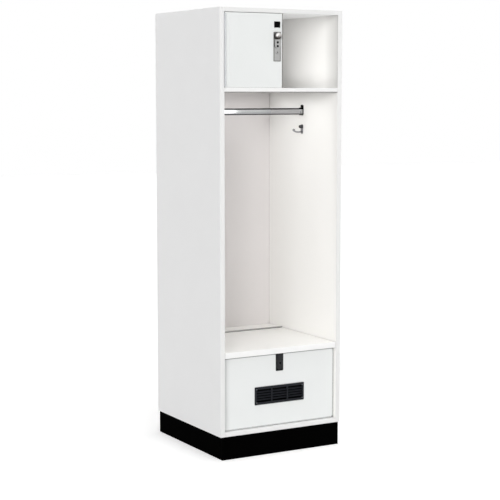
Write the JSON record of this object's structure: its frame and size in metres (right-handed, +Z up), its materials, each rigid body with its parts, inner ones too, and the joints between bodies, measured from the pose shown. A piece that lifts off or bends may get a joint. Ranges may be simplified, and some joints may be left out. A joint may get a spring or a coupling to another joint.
{
  "type": "wooden gear locker",
  "caption": "Open-front wooden gear locker with an upper compartment door, open cubby, hanging rail, coat hooks and a lift-up seat over a vented foot locker.",
  "frame": {"origin": "on the floor, below the middle of the whole box, the door knob included", "axes": "+X to the right seen from the front, +Y to the back, +Z up; the open front faces -Y"},
  "size_m": [0.6096, 0.6322, 1.9304],
  "materials": {
    "white_laminate": "satin white laminate over board",
    "black_base": "black laminate",
    "black_plastic": "fine moulded black",
    "satin_nickel": "satin nickel plate",
    "chrome": "bright chrome plate",
    "zinc": "plain zinc plate"
  },
  "bodies": {
    "case": {"left_side": "white_laminate", "right_side": "white_laminate", "bottom_panel": "white_laminate", "top_panel": "white_laminate", "back_panel": "white_laminate", "compartment_shelf": "white_laminate", "compartment_divider": "white_laminate", "seat_ledge": "white_laminate", "left_cleat": "white_laminate", "right_cleat": "white_laminate", "rear_cleat": "white_laminate", "foot_locker_front": "white_laminate", "base_front_rail": "black_base", "base_rear_rail": "black_base", "base_left_rail": "black_base", "base_right_rail": "black_base", "vent_grille": "black_plastic", "foot_lock_housing": "black_plastic", "door_hinge_side_leaf": "satin_nickel", "door_hinge_pin": "satin_nickel", "lid_hinge_ledge_leaf": "satin_nickel", "lid_hinge_pin": "satin_nickel", "coat_rail": "chrome", "rail_support_left": "chrome", "rail_support_right": "chrome", "coat_hook_left": "chrome", "coat_hook_right": "chrome", "latch_strike": "zinc", "foot_lock_nut": "zinc"},
    "door": {"upper_door": "white_laminate", "door_hinge_door_leaf": "satin_nickel", "latch_plate": "satin_nickel", "latch_nut": "zinc", "number_plate": "black_plastic"},
    "door_latch": {"latch_knob": "satin_nickel", "latch_tongue": "zinc"},
    "door_key": {"key_plug": "satin_nickel"},
    "lid": {"seat_lid": "white_laminate", "lid_hinge_lid_leaf": "satin_nickel", "lid_keeper": "zinc"},
    "foot_lock": {"foot_lock_plug": "black_plastic", "foot_lock_cam": "zinc"}
  },
  "joints": [
    {"name": "door_swing", "type": "hinge", "parent": "case", "child": "door", "pos_m": [-0.2811, -0.297, 1.75325], "axis": [0, 0, -1], "range_deg": [0, 170]},
    {"name": "knob_turn", "type": "hinge", "parent": "door", "child": "door_latch", "pos_m": [-0.027, -0.2935, 1.8147], "axis": [0, -1, 0], "range_deg": [0, 90]},
    {"name": "key_turn", "type": "hinge", "parent": "door", "child": "door_key", "pos_m": [-0.027, -0.2935, 1.7457], "axis": [0, -1, 0], "range_deg": [0, 90]},
    {"name": "lid_lift", "type": "hinge", "parent": "case", "child": "lid", "pos_m": [0, 0.1652, 0.471], "axis": [-1, 0, 0], "range_deg": [0, 105]},
    {"name": "foot_lock_turn", "type": "hinge", "parent": "case", "child": "foot_lock", "pos_m": [0, -0.2745, 0.3969], "axis": [0, 1, 0], "range_deg": [0, 90]}
  ]
}
